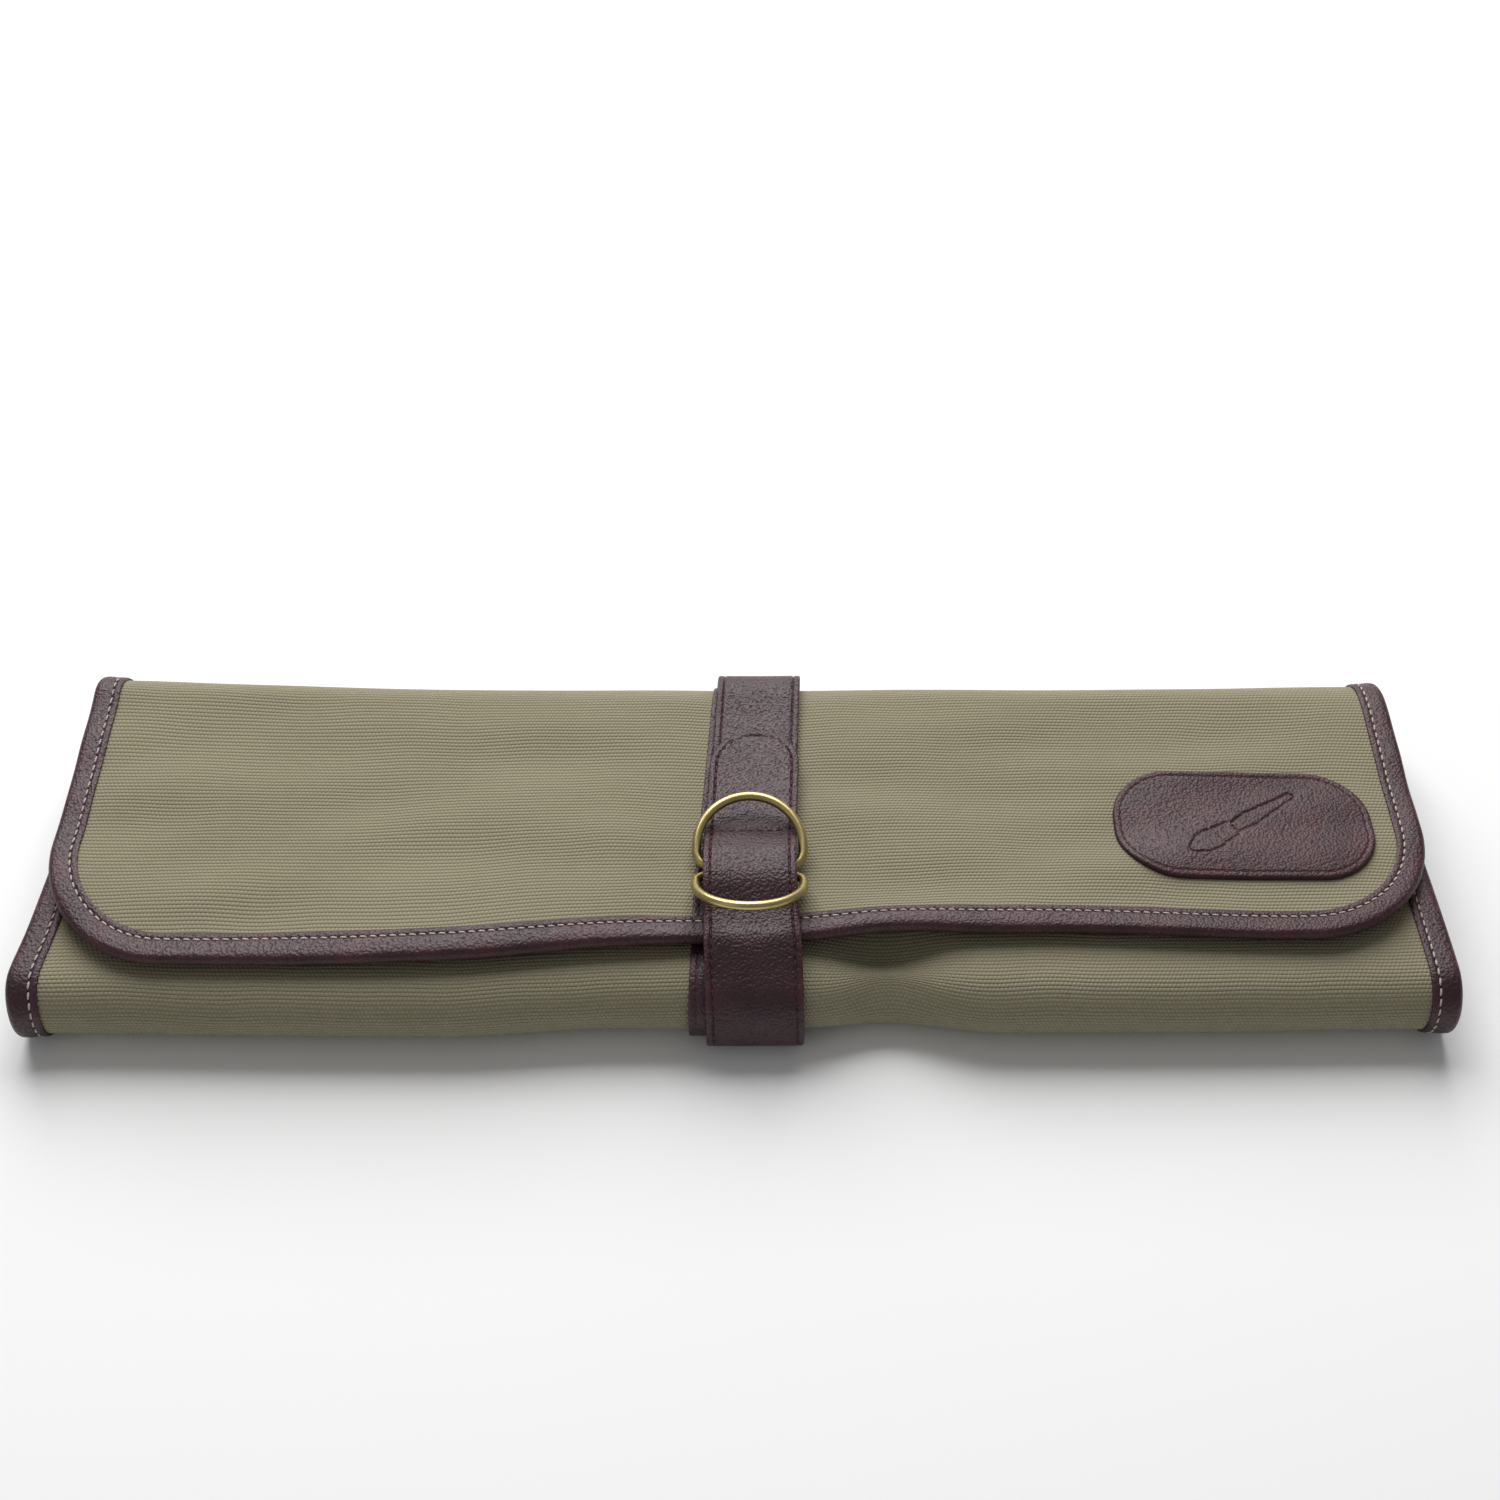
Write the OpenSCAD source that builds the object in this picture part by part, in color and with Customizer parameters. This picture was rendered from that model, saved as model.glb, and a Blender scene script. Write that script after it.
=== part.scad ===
// Rolled canvas brush case with leather edge binding, closed by a leather strap
// threaded through two brass D-rings. X runs along the roll, Y to the back, Z up.
// The roll is one long panel wound as a flat spiral: flap, back fold, base,
// front fold, second turn, inner fold and third turn, with the sleeves inside.

/* [Roll] */
// Width of the panel, along the roll
panel_w = 450; // [380:5:520]
// Depth of the rolled case, front to back, over the canvas
roll_depth = 133; // [126:1:150]
// Height of the rolled case, over the canvas
roll_height = 31; // [31:0.5:34]
// Distance of the flap's front edge from the middle of the roll
flap_front = 47; // [45:1:50]
// Radius of the flap's two front corners
flap_corner = 42; // [30:1:48]

/* [Fabric] */
// Thickness of the outer canvas
canvas_t = 1.2; // [0.8:0.1:1.4]
// Thickness of the lining
lining_t = 0.8; // [0.4:0.1:0.9]
// Thickness of the leather binding and of the sewn band
binding_t = 1.0; // [0.8:0.1:1.0]
// Width of the leather binding on each face
binding_w = 9; // [7:0.5:12]

/* [Sleeves] */
// Number of brush sleeves on the innermost turn
sleeve_count = 5; // [3:1:5]
// Length of the brush sleeves
sleeve_len = 262; // [220:2:300]
// Height of a sleeve's arch inside
sleeve_rise = 6.6; // [5:0.2:6.8]

/* [Strap and rings] */
// Width of the closing strap
strap_w = 30; // [25:1:32]
// Thickness of the strap, two layers of leather sewn together
strap_t = 2.0; // [1.6:0.1:2.2]
// Place of the strap along the roll, from the middle
strap_x = 3.5; // [-20:0.5:20]
// Diameter of the rings' brass wire
wire_d = 3.0; // [2.4:0.1:3.2]
// Height of a ring, from the middle of its bar to the outside of its arc
ring_h = 26; // [24:0.5:27]
// Tilt of the upper ring above flat
upper_tilt = 18; // [16:1:25]
// Tilt of the lower ring above flat
lower_tilt = 28; // [26:1:34]

/* [Patch] */
// Width of the leather patch
patch_w = 85; // [60:1:90]
// Height of the leather patch
patch_h = 45.5; // [30:0.5:50]
// Thickness of the leather patch
patch_t = 1.6; // [1:0.1:2]
// Place of the patch along the roll, from the middle
patch_x = 165; // [120:1:168]

/* [Hidden] */

canvas_col = "#8d8768";
lining_col = "#6f6a52";
leather_col = "#4a2f2e";
brass_col = "#c2a24c";

arc_steps = 12;         // straight facets in each quarter turn
body_gap = 0.3;         // clear space between pieces of different bodies
lay_gap = 0.05;         // keeps the facets of two sewn layers from crossing
low_split = -45;        // angle on the back fold where the roll ends
high_split = 75;        // angle on the back fold where the flap begins
split_deg = 0.7;        // half the gap between bodies, at a fold's split
cloth_t = canvas_t + lining_t;
half_w = panel_w / 2;
web_x = half_w - binding_t;      // where the cloth ends inside the binding
patch_corner = patch_h / 2 - 2.5;

// back fold, from the base up to the flap
back_r = (roll_height - binding_t) / 2;
back_y = roll_depth / 2 - back_r + body_gap / 2;
back_z = binding_t + back_r;

// front fold, from the base up to the second turn under the flap
front_r = back_r - 2.5;
front_y = front_r - roll_depth / 2 + body_gap / 2;
front_z = binding_t + front_r;

// inner fold, from the second turn down to the third turn
inner_low = 2 * binding_t + cloth_t + binding_t + body_gap;
inner_high = front_z + front_r;
inner_r = (inner_high - inner_low) / 2;
inner_y = back_y - 1.5;
inner_z = inner_low + inner_r;
inner_end = -48;        // front end of the third turn

// strap
left_x = strap_x - strap_w / 2;
band_x = left_x - 2.5;
band_end = -30;         // front end of the sewn band, on the second turn
band_top = roll_height + binding_t;
strap_top = band_top + strap_t;
leaf_t = 1.2;           // the ring strap's thickness where it wraps the bars
leaf_end = -8;          // where the folded end of the ring strap stops
bar_slack = 0.15;       // clear space round a bar in its loop
bar_r = wire_d / 2;
bar_hole = bar_r + bar_slack;
bar_z = band_top + leaf_t + bar_hole;
upper_y = -20.5;
lower_y = upper_y - wire_d - 0.7;
loop_top = bar_z + bar_hole + leaf_t;
tail_tip = 38.5;        // where the tail's round end lies, towards the back

// ring
ring_arc = strap_w / 2 + 0.8 + bar_r;    // radius of the wire's middle
ring_side = ring_h - bar_r - ring_arc;   // straight side between bar and arc

// points on an arc about (cy, cz), from angle a0 to a1
function arc(cy, cz, r, a0, a1) =
    let (n = max(2, round(abs(a1 - a0) / 90 * arc_steps)))
    [for (i = [0:n]) let (a = a0 + (a1 - a0) * i / n) [cy + r * cos(a), cz + r * sin(a)]];

function flipped(p) = [for (i = [len(p) - 1:-1:0]) p[i]];

// the wound panel's line, at depth d inside the canvas's outer face
function roll_line(d, y_end) = concat(
    arc(back_y, back_z, back_r - d, low_split - split_deg, -90),
    arc(front_y, front_z, front_r - d, -90, -270),
    arc(inner_y, inner_z, inner_r - d, 90, -90),
    [[y_end, inner_low + d]]);

function back_line(d) =
    arc(back_y, back_z, back_r - d, low_split + split_deg, high_split - split_deg);

// the flap's curved root, from the split to the flat
function root_line(d, y_end) = concat(
    arc(back_y, back_z, back_r - d, high_split + split_deg, 90),
    [[y_end, back_z + back_r - d]]);

// a profile drawn in Y and Z, run along X from x0 to x1
module along_x(x0, x1) {
    translate([x0, 0, 0])
        rotate([90, 0, 90])
            linear_extrude(x1 - x0)
                children();
}

module roll_sheet(d0, d1, y_end = inner_end) {
    polygon(concat(roll_line(d0, y_end), flipped(roll_line(d1, y_end))));
}

module back_sheet(d0, d1) {
    polygon(concat(back_line(d0), flipped(back_line(d1))));
}

module root_sheet(d0, d1, y_end) {
    polygon(concat(root_line(d0, y_end), flipped(root_line(d1, y_end))));
}

// channel of leather folded round a cloth edge: side is -1 at the left end, 1 at the right
module side_channel(side) {
    outer = half_w - binding_w;
    difference() {
        along_x(side > 0 ? outer : -half_w, side > 0 ? half_w : -outer)
            children(0);
        along_x(side > 0 ? outer - 1 : -web_x, side > 0 ? web_x : 1 - outer)
            children(1);
    }
}

// outline of the flap, with round front corners, inset by d
module flap_outline(d, y_back) {
    r = flap_corner - d;
    x = half_w - d;
    y = -flap_front + d;
    for (side = [-1, 1])
        translate([side * (x - r), y + r])
            circle(r = r, $fn = 96);
    translate([-x, y + r])
        square([2 * x, y_back - y - r]);
    translate([-x + r, y])
        square([2 * (x - r), r + 1]);
}

module roll_canvas() {
    color(canvas_col)
        along_x(-web_x, web_x)
            roll_sheet(0, canvas_t, inner_end + binding_t);
}

module roll_lining() {
    color(lining_col)
        along_x(-web_x, web_x)
            roll_sheet(canvas_t, cloth_t, inner_end + binding_t);
}

module roll_binding(side) {
    color(leather_col)
        side_channel(side) {
            roll_sheet(-binding_t, cloth_t + binding_t);
            roll_sheet(0, cloth_t);
        }
}

// binding folded round the panel's inner end, between the two side bindings
module inner_end_binding() {
    edge_x = half_w - binding_w;
    color(leather_col)
        along_x(-edge_x, edge_x)
            difference() {
                translate([inner_end, inner_low - binding_t])
                    square([binding_w, cloth_t + 2 * binding_t]);
                translate([inner_end + binding_t, inner_low])
                    square([binding_w, cloth_t]);
            }
}

// leather band sewn flat to the canvas, under the strap
module roll_band() {
    color(leather_col)
        along_x(band_x, band_x + strap_w)
            polygon(concat(
                arc(back_y, back_z, back_r, low_split - split_deg, -90),
                arc(front_y, front_z, front_r, -90, -270),
                [[band_end, front_z + front_r]],
                [[band_end, front_z + front_r + binding_t]],
                arc(front_y, front_z, front_r + binding_t, -270, -90),
                arc(back_y, back_z, back_r + binding_t, -90, low_split - split_deg)));
}

// brush sleeves: a sheet sewn to the lining in rows, with an arch between rows
module sleeve_panel() {
    wall = 0.8;
    seam = 2.4;
    depth = inner_y - 4 - (inner_end + binding_w + 2);
    pitch = depth / sleeve_count;
    floor_z = inner_low + cloth_t;
    start_y = inner_end + binding_w + 2;
    end_x = -half_w + binding_w;
    rise = sleeve_rise + wall;
    span = pitch - seam;
    module arch(w, h) {
        polygon([for (a = [0:10:180]) [w / 2 * cos(a), h * sin(a)]]);
    }
    color(lining_col)
        difference() {
            along_x(end_x, end_x + sleeve_len)
                union() {
                    translate([start_y, floor_z])
                        square([depth, wall]);
                    for (i = [0:sleeve_count - 1])
                        translate([start_y + (i + 0.5) * pitch, floor_z])
                            arch(span + 2 * wall, rise);
                }
            along_x(end_x + 2, end_x + sleeve_len + 1)
                for (i = [0:sleeve_count - 1])
                    translate([start_y + (i + 0.5) * pitch, floor_z + 0.01])
                        arch(span, sleeve_rise);
        }
}

// guard for the brush tips: sewn at the right end and folded back over the sleeves
module tip_guard() {
    wall = 0.8;
    fold_r = 4;
    low_z = inner_low + cloth_t + binding_t;
    right_x = half_w - binding_t - fold_r;
    left_x = 30;
    back = inner_y - 8;
    color(lining_col)
        translate([0, back, 0])
            rotate([90, 0, 0])
                linear_extrude(back - inner_end - binding_w)
                    polygon(concat(
                        [[half_w - binding_w - 8, low_z]],
                        arc(right_x, low_z + fold_r, fold_r, -90, 90),
                        [[left_x, low_z + 2 * fold_r]],
                        [[left_x, low_z + 2 * fold_r - wall]],
                        arc(right_x, low_z + fold_r, fold_r - wall, 90, -90),
                        [[half_w - binding_w - 8, low_z + wall]]));
}

module back_canvas() {
    color(canvas_col)
        along_x(-web_x, web_x)
            back_sheet(0, canvas_t);
}

module back_lining() {
    color(lining_col)
        along_x(-web_x, web_x)
            back_sheet(canvas_t, cloth_t);
}

module back_binding(side) {
    color(leather_col)
        side_channel(side) {
            back_sheet(-binding_t, cloth_t + binding_t);
            back_sheet(0, cloth_t);
        }
}

module back_band() {
    color(leather_col)
        along_x(band_x, band_x + strap_w)
            back_sheet(-binding_t, 0);
}

// sewn root of the ring strap, low on the back fold
module ring_strap_back() {
    root_deg = -38;
    inner = back_r + binding_t + lay_gap;
    outer = back_r + binding_t + strap_t;
    color(leather_col)
        along_x(left_x, left_x + strap_w)
            polygon(concat(
                arc(back_y, back_z, inner, root_deg, high_split - split_deg),
                arc(back_y, back_z, outer, high_split - split_deg, root_deg + 8)));
}

module flap_canvas() {
    color(canvas_col) {
        along_x(-web_x, web_x)
            root_sheet(0, canvas_t, back_y - 1);
        translate([0, 0, roll_height - canvas_t])
            linear_extrude(canvas_t)
                flap_outline(binding_t, back_y - 0.5);
    }
}

module flap_lining() {
    color(lining_col) {
        along_x(-web_x, web_x)
            root_sheet(canvas_t, cloth_t, back_y - 1);
        translate([0, 0, roll_height - cloth_t])
            linear_extrude(lining_t)
                flap_outline(binding_t, back_y - 0.5);
    }
}

// one strip of leather round the flap's left, front and right edges
module flap_binding() {
    thick = cloth_t + 2 * binding_t;
    color(leather_col) {
        for (side = [-1, 1])
            side_channel(side) {
                root_sheet(-binding_t, cloth_t + binding_t, back_y);
                root_sheet(0, cloth_t, back_y - 1);
            }
        difference() {
            translate([0, 0, roll_height + binding_t - thick])
                linear_extrude(thick)
                    difference() {
                        flap_outline(0, back_y);
                        flap_outline(binding_w, back_y + 1);
                    }
            translate([0, 0, roll_height - cloth_t])
                linear_extrude(cloth_t)
                    flap_outline(binding_t, back_y + 1);
        }
    }
}

module flap_band() {
    color(leather_col)
        along_x(band_x, band_x + strap_w)
            root_sheet(-binding_t, 0, binding_w - flap_front);
}

// free part of the ring strap, folded round the two bars and back on itself
module ring_strap() {
    outer = back_r + binding_t;
    leaf_low = band_top + leaf_t;
    color(leather_col)
        along_x(left_x, left_x + strap_w)
            difference() {
                polygon(concat(
                    arc(back_y, back_z, outer, high_split + split_deg, 90),
                    arc(lower_y, bar_z, bar_hole + leaf_t, -90, -270),
                    [[upper_y + 2, loop_top], [leaf_end, leaf_low + leaf_t],
                        [leaf_end, leaf_low], [leaf_end + 1, leaf_low],
                        [leaf_end + 2.5, strap_top]],
                    arc(back_y, back_z, outer + strap_t, 90, high_split + split_deg)));
                for (y = [lower_y, upper_y])
                    translate([y, bar_z])
                        circle(r = bar_hole, $fn = 48);
                translate([lower_y, bar_z - bar_r])
                    square([upper_y - lower_y, 2 * bar_r]);
            }
}

// leather patch with near-round ends, sewn flat to the flap
module patch() {
    color(leather_col)
        translate([patch_x - patch_w / 2, -1 - patch_h / 2, roll_height])
            linear_extrude(patch_t)
                union() {
                    for (x = [patch_corner, patch_w - patch_corner])
                        for (y = [patch_corner, patch_h - patch_corner])
                            translate([x, y])
                                circle(r = patch_corner, $fn = 96);
                    translate([patch_corner, 0])
                        square([patch_w - 2 * patch_corner, patch_h]);
                    translate([0, patch_corner])
                        square([patch_w, patch_h - 2 * patch_corner]);
                }
}

// one D-ring lying flat, its bar on the X axis and its arc towards +Y
module d_ring() {
    translate([-ring_arc, 0, 0])
        rotate([0, 90, 0])
            cylinder(r = bar_r, h = 2 * ring_arc, $fn = 48);
    for (side = [-1, 1])
        translate([side * ring_arc, 0, 0]) {
            sphere(r = bar_r, $fn = 48);
            rotate([-90, 0, 0])
                cylinder(r = bar_r, h = ring_side, $fn = 48);
        }
    translate([0, ring_side, 0])
        rotate_extrude(angle = 180, $fn = 96)
            translate([ring_arc, 0])
                circle(r = bar_r, $fn = 48);
}

module ring_upper() {
    color(brass_col)
        translate([strap_x, upper_y, bar_z])
            rotate([upper_tilt, 0, 0])
                d_ring();
}

module ring_lower() {
    color(brass_col)
        translate([strap_x, lower_y, bar_z])
            rotate([-lower_tilt, 0, 0])
                rotate([0, 0, 180])
                    d_ring();
}

// where the tail leaves the front fold for the flap's edge
tail_in = front_r + binding_t + body_gap;
knee_y = -flap_front - 0.6;
knee_z = band_top + body_gap;
knee_gap = norm([knee_y - front_y, knee_z - front_z]);
leave_deg = atan2(knee_z - front_z, knee_y - front_y) + acos(tail_in / knee_gap);

// tail from its skived, sewn root under the front fold up to the flap's edge
module tail_front() {
    out = tail_in + strap_t;
    run = [cos(leave_deg - 90), sin(leave_deg - 90)];
    top = sqrt(knee_gap * knee_gap - tail_in * tail_in) - body_gap;
    leave_in = [front_y, front_z] + tail_in * [cos(leave_deg), sin(leave_deg)];
    leave_out = [front_y, front_z] + out * [cos(leave_deg), sin(leave_deg)];
    color(leather_col)
        along_x(left_x, left_x + strap_w)
            polygon(concat(
                arc(front_y, front_z, tail_in, 237, leave_deg),
                [leave_in + top * run, leave_out + top * run],
                arc(front_y, front_z, out, leave_deg, 232)));
}

// tail over the flap's edge, the bars and the ring strap, to its round end
module tail_top() {
    low = knee_z;
    hump = loop_top + body_gap;
    rest = strap_top + body_gap;
    leaf = band_top + 2 * leaf_t + body_gap;
    under = [[knee_y, low], [-43, low], [-36, low + 1], [-30, hump - 1.4],
        [lower_y - 2.5, hump - 0.2], [lower_y, hump], [upper_y, hump],
        [upper_y + 3.5, hump], [leaf_end, max(leaf, rest) + 0.2],
        [leaf_end + 5, rest], [tail_tip, rest]];
    over = [for (i = [0:len(under) - 1]) under[i] + [0, strap_t]];
    tip_r = strap_w / 2;
    color(leather_col)
        intersection() {
            along_x(left_x, left_x + strap_w)
                polygon(concat(under, flipped(over)));
            translate([0, 0, low - 1])
                linear_extrude(hump + strap_t + 4 - low)
                    union() {
                        translate([strap_x, tail_tip - tip_r])
                            circle(r = tip_r, $fn = 96);
                        translate([left_x, knee_y - 1])
                            square([strap_w, tail_tip - tip_r - knee_y + 1]);
                    }
        }
}

roll_canvas();
roll_lining();
roll_binding(-1);  // roll_binding_left
roll_binding(1);  // roll_binding_right
inner_end_binding();
roll_band();
sleeve_panel();
tip_guard();
back_canvas();
back_lining();
back_binding(-1);  // back_binding_left
back_binding(1);  // back_binding_right
back_band();
ring_strap_back();
flap_canvas();
flap_lining();
flap_binding();
flap_band();
ring_strap();
patch();
ring_upper();
ring_lower();
tail_front();
tail_top();
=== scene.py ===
"""Brush roll case: a canvas panel wound flat, bound in leather, with a strap and two rings.

Sizes are in millimetres until a mesh is made. X runs along the roll, Y to the back, Z up.
"""

import bpy
import numpy as np
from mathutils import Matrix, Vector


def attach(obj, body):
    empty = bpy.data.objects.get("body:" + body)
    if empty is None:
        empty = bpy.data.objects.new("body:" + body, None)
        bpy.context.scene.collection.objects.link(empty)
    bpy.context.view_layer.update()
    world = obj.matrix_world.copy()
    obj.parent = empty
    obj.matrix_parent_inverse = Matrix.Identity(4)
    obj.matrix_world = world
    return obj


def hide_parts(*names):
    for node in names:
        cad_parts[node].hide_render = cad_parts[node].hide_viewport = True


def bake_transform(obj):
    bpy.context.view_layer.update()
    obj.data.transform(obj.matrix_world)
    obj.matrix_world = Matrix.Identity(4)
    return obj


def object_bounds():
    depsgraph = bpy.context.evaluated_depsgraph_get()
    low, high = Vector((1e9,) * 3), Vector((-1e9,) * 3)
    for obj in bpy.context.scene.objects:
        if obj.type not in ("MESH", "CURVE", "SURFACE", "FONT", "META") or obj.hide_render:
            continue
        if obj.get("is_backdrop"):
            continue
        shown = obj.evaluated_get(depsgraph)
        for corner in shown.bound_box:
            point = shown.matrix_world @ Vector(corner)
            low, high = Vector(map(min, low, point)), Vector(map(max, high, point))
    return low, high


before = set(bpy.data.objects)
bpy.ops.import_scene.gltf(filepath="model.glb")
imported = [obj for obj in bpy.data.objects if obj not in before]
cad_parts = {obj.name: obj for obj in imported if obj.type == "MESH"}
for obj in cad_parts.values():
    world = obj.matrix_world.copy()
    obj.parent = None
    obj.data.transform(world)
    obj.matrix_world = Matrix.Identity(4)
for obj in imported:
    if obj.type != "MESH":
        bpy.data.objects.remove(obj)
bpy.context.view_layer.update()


# ---------------------------------------------------------------- wound panel
# The case is one long panel of canvas and lining, rolled flat: third turn, inner fold, second
# turn, front fold, base, back fold and flap. Every sewn piece is placed on it by its distance
# along the roll (x), along the panel from its inner end (s) and above the canvas (h).
HALF = 225.0
INNER_R, FRONT_R, BACK_R = 10.35, 12.5, 15.0
RUN_LENGTH = np.array(
    [98.15, np.pi * INNER_R, 104.0, np.pi * FRONT_R, 105.5, np.pi * BACK_R, 98.65]
)
RUN_BEND = np.array([0, 1 / INNER_R, 0, 1 / FRONT_R, 0, 1 / BACK_R, 0])
RUN_START = np.concatenate([[0], np.cumsum(RUN_LENGTH)])
RUN_HEADING = np.concatenate([[0], np.cumsum(RUN_BEND * RUN_LENGTH)])
RUN_CHORD = RUN_LENGTH * np.sinc(RUN_BEND * RUN_LENGTH / 2 / np.pi)
RUN_MIDDLE = RUN_HEADING[:-1] + RUN_BEND * RUN_LENGTH / 2
RUN_Y = -48.0 + np.concatenate([[0], np.cumsum(RUN_CHORD * np.cos(RUN_MIDDLE))])
RUN_Z = 5.3 + np.concatenate([[0], np.cumsum(RUN_CHORD * np.sin(RUN_MIDDLE))])
S_SECOND, S_FRONT, S_BASE, S_BACK, S_FLAP, S_END = RUN_START[2:]
S_UNDER = S_BASE + 53.85  # middle of the base
S_MID = S_BACK + BACK_R * np.pi / 2  # rearmost line of the back fold


def wind(s):
    """The panel's line in Y and Z, with its outward normal. Each run has one curvature, so a
    point lies along a chord of length ds sin(a)/a at the mean heading, a being half the turn."""
    run = np.clip(np.searchsorted(RUN_START, s, side="right") - 1, 0, 6)
    ds = s - RUN_START[run]
    turn = RUN_BEND[run] * ds / 2
    middle = RUN_HEADING[run] + turn
    chord = ds * np.sinc(turn / np.pi)
    heading = middle + turn
    y = RUN_Y[run] + chord * np.cos(middle)
    z = RUN_Z[run] + chord * np.sin(middle)
    return y, z, np.sin(heading), -np.cos(heading)


def ease(v, a, b):
    """Smoothstep: 0 at a, 1 at b, flat at both ends."""
    t = np.clip((v - a) / (b - a), 0, 1)
    return t * t * (3 - 2 * t)


def bell(v, centre, width):
    """Gaussian bell, 1 at its centre."""
    return np.exp(-(((v - centre) / width) ** 2))


def settle(x, y, z, upper):
    """Where a point of the neat roll lies once the soft roll has sagged: sums of smoothsteps
    and bells along the roll. upper is 1 on the flap's layer and 0 on the layers below it. The
    flap's edge runs askew, the back is full, the front fold is pushed in beside the strap, and
    the layers under the flap are hollow there. Slow sines ripple the flap."""
    front, back, lift = ease(y, -22, -62), ease(y, 10, 66), np.clip(z / 31, 0, 1.2)
    skew = -7.0 + 11.6 * ease(x, -150, 100) - 3.4 * ease(x, 100, 185) - 1.5 * bell(x, 33, 28)
    reach = np.clip((50 - y) / 97, 0, 1.1)
    pushed = -3.0 * ease(x, -40, -92) - 1.5 * ease(x, 60, 84) + 2.4 * bell(x, 46, 17)
    full = 1.9 + 2.6 * bell(x, -HALF, 75) + 1.0 * bell(x, HALF, 45)
    flare = np.where(x < 0, -3.4, 2.2) * np.abs(x / HALF) ** 6 * ease(y, 20, -60)
    hollow = bell(x, 47, 17) * bell(y, -48, 14)
    dent = bell(x, 48, 15) * bell(z, 21, 9) * ease(y, -50, -64)
    ripple = 0.45 * np.sin(x / 23 + y / 40) * np.sin(y / 19 + x / 61)
    ripple = ripple + 0.7 * bell(x, -60, 38) * bell(y, -20, 30) - 0.5 * bell(x, 95, 40)
    ripple = ripple + 0.62 * np.sin(y / 6.2 + 1.6 * np.sin(x / 41) + x / 70) * np.sin(x / 35 + 0.5)
    ripple = ripple + 0.3 * np.sin(y / 3.7 - x / 33 + 2 * np.sin(x / 57)) * np.sin(x / 24 + y / 31)
    free = upper * (1 - bell(x, 3.5, 24))  # the flap, but for where the strap holds it down
    dz = back * (1.0 + 2.2 * bell(x, -HALF, 60) + 0.9 * bell(x, HALF, 50))
    dz = dz + (ripple + 1.5) * free - 8.5 * hollow * (1 - upper)
    dx = (flare - 1.5 * bell(x, -HALF, 25) * bell(y, -56, 12)) * (1 - upper)
    dy = back * full + front * pushed + upper * reach * skew + 5.0 * dent * (1 - upper)
    dy = dy + 1.4 * front * bell(np.abs(x), HALF, 60)
    return np.stack([x + dx, y + dy, np.maximum(z + lift * dz, 0.0)], -1)


def on_panel(x, s, h):
    """A point x along the roll, s along the panel and h above the canvas's outer face."""
    x, s, h = np.broadcast_arrays(*(np.asarray(v, float) for v in (x, s, h)))
    y, z, ny, nz = wind(s)
    return settle(x, y + h * ny, z + h * nz, ease(s, S_MID, S_FLAP))


def mesh_piece(name, points, faces, uv, material, crease=50):
    """A mesh object from points in millimetres, quads, and a UV in metres for each corner.
    Faces are turned round if their signed volume is negative. Edges over crease stay sharp."""
    a, b, c, d = (points[faces[:, k]] for k in range(4))
    volume = (a * np.cross(b, c)).sum() + (a * np.cross(c, d)).sum()
    if volume < 0:
        faces, uv = faces[:, ::-1], uv[:, ::-1]
    mesh = bpy.data.meshes.new(name)
    mesh.vertices.add(len(points))
    mesh.vertices.foreach_set("co", (points * 0.001).astype(np.float32).ravel())
    mesh.loops.add(faces.size)
    mesh.loops.foreach_set("vertex_index", faces.astype(np.int32).ravel())
    mesh.polygons.add(len(faces))
    mesh.polygons.foreach_set("loop_start", np.arange(0, faces.size, 4, dtype=np.int32))
    layer = mesh.uv_layers.new(name="UVMap")
    layer.data.foreach_set("uv", np.ascontiguousarray(uv, np.float32).ravel())
    mesh.update(calc_edges=True)
    mesh.shade_smooth()
    mesh.set_sharp_from_angle(angle=np.radians(crease))
    mesh.materials.append(material)
    piece = bpy.data.objects.new(name, mesh)
    bpy.context.scene.collection.objects.link(piece)
    return piece


def shell(name, front, back, uv, material):
    """A closed skin between two grids of points, n by m by 3, joined by a rim on all four
    sides. uv is n by m by 2, in millimetres, and serves both faces."""
    n, m = front.shape[:2]
    at = np.arange(n * m).reshape(n, m)
    far = at + n * m

    def quads(*corners):
        return np.stack(corners, -1).reshape(-1, 4)

    faces = [
        quads(at[:-1, :-1], at[1:, :-1], at[1:, 1:], at[:-1, 1:]),
        quads(far[:-1, :-1], far[:-1, 1:], far[1:, 1:], far[1:, :-1]),
        quads(at[1:, 0], at[:-1, 0], far[:-1, 0], far[1:, 0]),
        quads(at[:-1, -1], at[1:, -1], far[1:, -1], far[:-1, -1]),
        quads(at[0, :-1], at[0, 1:], far[0, 1:], far[0, :-1]),
        quads(at[-1, 1:], at[-1, :-1], far[-1, :-1], far[-1, 1:]),
    ]
    faces = np.concatenate(faces)
    points = np.concatenate([front.reshape(-1, 3), back.reshape(-1, 3)])
    corners = uv.reshape(-1, 2)[faces % (n * m)] * 0.001
    return mesh_piece(name, points, faces, corners, material)


def go_with(piece, part):
    """Fastens a piece to the roll's inner turns. A piece of the base and lower back fold, or of the
    upper back fold and flap, only has its place baked into its mesh."""
    if part == "inner":
        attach(piece, "roll")
    elif part == "base":
        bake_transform(piece)
    else:
        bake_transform(piece)
    return piece


# ---------------------------------------------------------------- canvas
# Heavy khaki duck, woven with a fine rib along the roll. It is one cloth, made here in three
# lengths that meet edge to edge under the base and at the rearmost line of the back fold.
CANVAS_T = 1.2
CLOTH_INSET = 1.0  # from the bound edge to the cloth's own
FLAP_CORNER = 42.0
CLOTH_CORNER = FLAP_CORNER - CLOTH_INSET
CORNER_FROM = S_END - FLAP_CORNER  # where the flap's corners begin


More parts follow.
